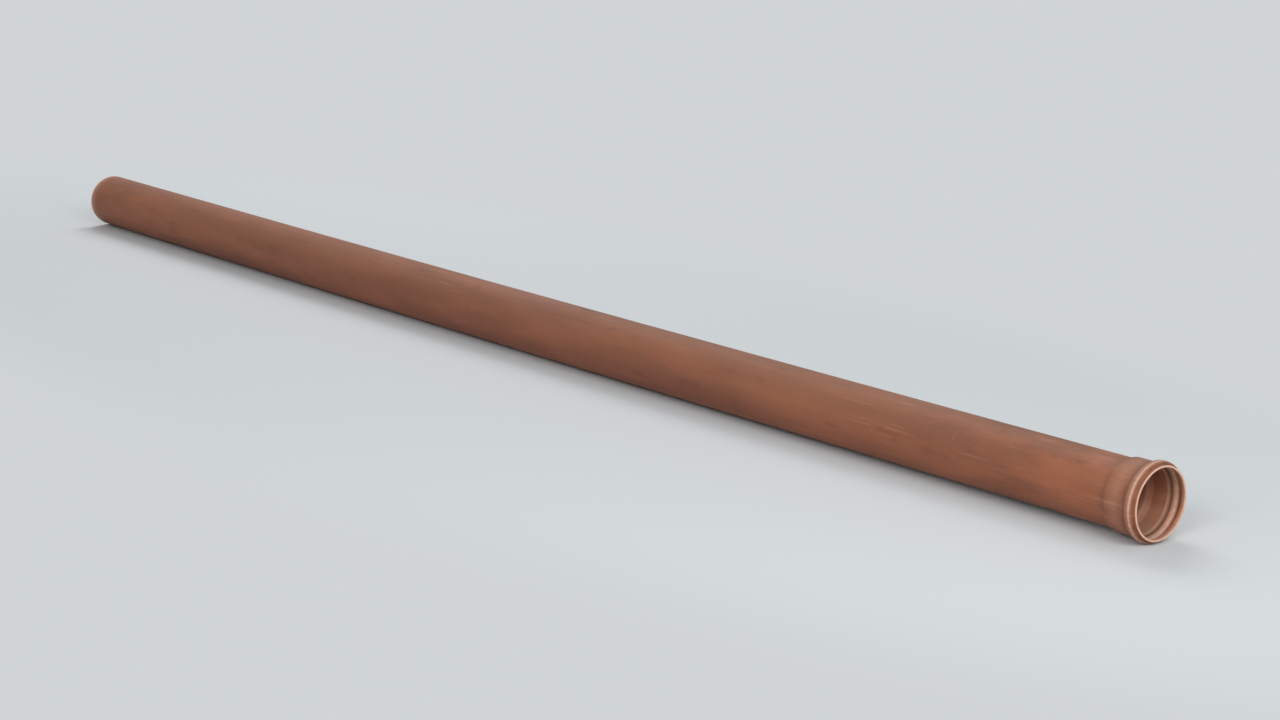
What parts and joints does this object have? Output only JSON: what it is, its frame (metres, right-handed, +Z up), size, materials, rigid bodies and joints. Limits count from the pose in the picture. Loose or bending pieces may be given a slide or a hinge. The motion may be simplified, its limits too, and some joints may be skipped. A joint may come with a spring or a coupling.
{
  "type": "drain pipe",
  "caption": "Rigid clay-coloured plastic drain pipe with a ring-seal socket at one end and a chamfered plain spigot at the other, for laying underground drains.",
  "frame": {"origin": "middle of the pipe's length, below the axis, on the level of the bead's lowest point", "axes": "+X along the pipe's axis, out of the socket's mouth; +Z up as the pipe lies; Y across"},
  "size_m": [3.06, 0.1266, 0.1269],
  "materials": {
    "pipe_plastic": "extruded orange-brown rigid plastic, satin under dust, with paler sawn ends"
  },
  "bodies": {
    "root": {"drain_pipe": "pipe_plastic"}
  },
  "joints": []
}
